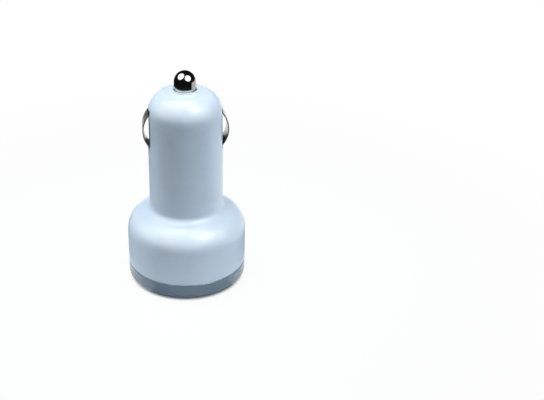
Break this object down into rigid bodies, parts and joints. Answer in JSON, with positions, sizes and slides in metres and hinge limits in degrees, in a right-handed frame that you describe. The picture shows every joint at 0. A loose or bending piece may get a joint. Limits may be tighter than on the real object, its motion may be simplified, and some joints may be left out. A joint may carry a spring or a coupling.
{
  "type": "car usb charger plug",
  "caption": "White car charger plug: wide head with stacked ports behind a clear cap, round shoulder, slim barrel with bowed side springs and a sprung domed metal tip.",
  "frame": {"origin": "centre of the port face that the plug stands on", "axes": "+Z along the plug from the port face to the tip, X across the ports and through both side springs, +Y from the board towards the tops of the ports"},
  "size_m": [0.0335, 0.0334, 0.0619],
  "materials": {
    "white_shell": "smooth moulded gloss",
    "clear_cap": "clear, slightly frosted",
    "tip_metal": "bright plated",
    "coil_steel": "drawn wire",
    "terminal_metal": "tinned brass",
    "leaf_steel": "bright rolled sheet",
    "port_steel": "tinned sheet",
    "shield_steel": "dull sheet",
    "port_plastic": "moulded",
    "contact_metal": "plated",
    "board": "lacquered laminate",
    "can": "sleeved can",
    "ferrite": "sintered",
    "copper": "enamelled wire",
    "black_plastic": "moulded",
    "white_block": "fired block",
    "tan_block": "fired block",
    "lamp_resin": "clear resin"
  },
  "bodies": {
    "charger": {"body_shell": "white_shell", "end_cap": "clear_cap", "tip_spring": "coil_steel", "tip_terminal": "terminal_metal", "spring_rivet_left": "terminal_metal", "spring_rivet_right": "terminal_metal", "usb_shell": "port_steel", "usb_middle_shield": "shield_steel", "usb_insulator": "port_plastic", "usb_contact_upper_1": "contact_metal", "usb_contact_upper_2": "contact_metal", "usb_contact_upper_3": "contact_metal", "usb_contact_upper_4": "contact_metal", "usb_contact_lower_1": "contact_metal", "usb_contact_lower_2": "contact_metal", "usb_contact_lower_3": "contact_metal", "usb_contact_lower_4": "contact_metal", "circuit_board": "board", "input_capacitor": "can", "output_capacitor": "can", "inductor_core": "ferrite", "inductor_winding": "copper", "converter_chip": "black_plastic", "rectifier_diode": "black_plastic", "input_fuse": "white_block", "indicator_lamp": "lamp_resin", "resistor_1": "black_plastic", "resistor_2": "black_plastic", "resistor_3": "black_plastic", "resistor_4": "black_plastic", "resistor_5": "black_plastic", "resistor_6": "black_plastic", "ceramic_capacitor_1": "tan_block", "ceramic_capacitor_2": "tan_block", "ceramic_capacitor_3": "tan_block"},
    "tip": {"tip_pin": "tip_metal"},
    "left_spring": {"side_spring_left": "leaf_steel"},
    "right_spring": {"side_spring_right": "leaf_steel"}
  },
  "joints": [
    {"name": "tip_press", "type": "slide", "parent": "charger", "child": "tip", "axis": [0, 0, -1], "range_m": [0, 0.003], "stiffness_N_per_m": 800, "springref_m": -0.002, "deforming": ["tip_spring"]},
    {"name": "left_spring_press", "type": "hinge", "parent": "charger", "child": "left_spring", "pos_m": [-0.00552, -0.003, 0.024], "axis": [0, 1, 0], "range_deg": [0, 4], "stiffness_Nm_per_rad": 0.6},
    {"name": "right_spring_press", "type": "hinge", "parent": "charger", "child": "right_spring", "pos_m": [0.00552, -0.003, 0.024], "axis": [0, -1, 0], "range_deg": [0, 4], "stiffness_Nm_per_rad": 0.6}
  ]
}
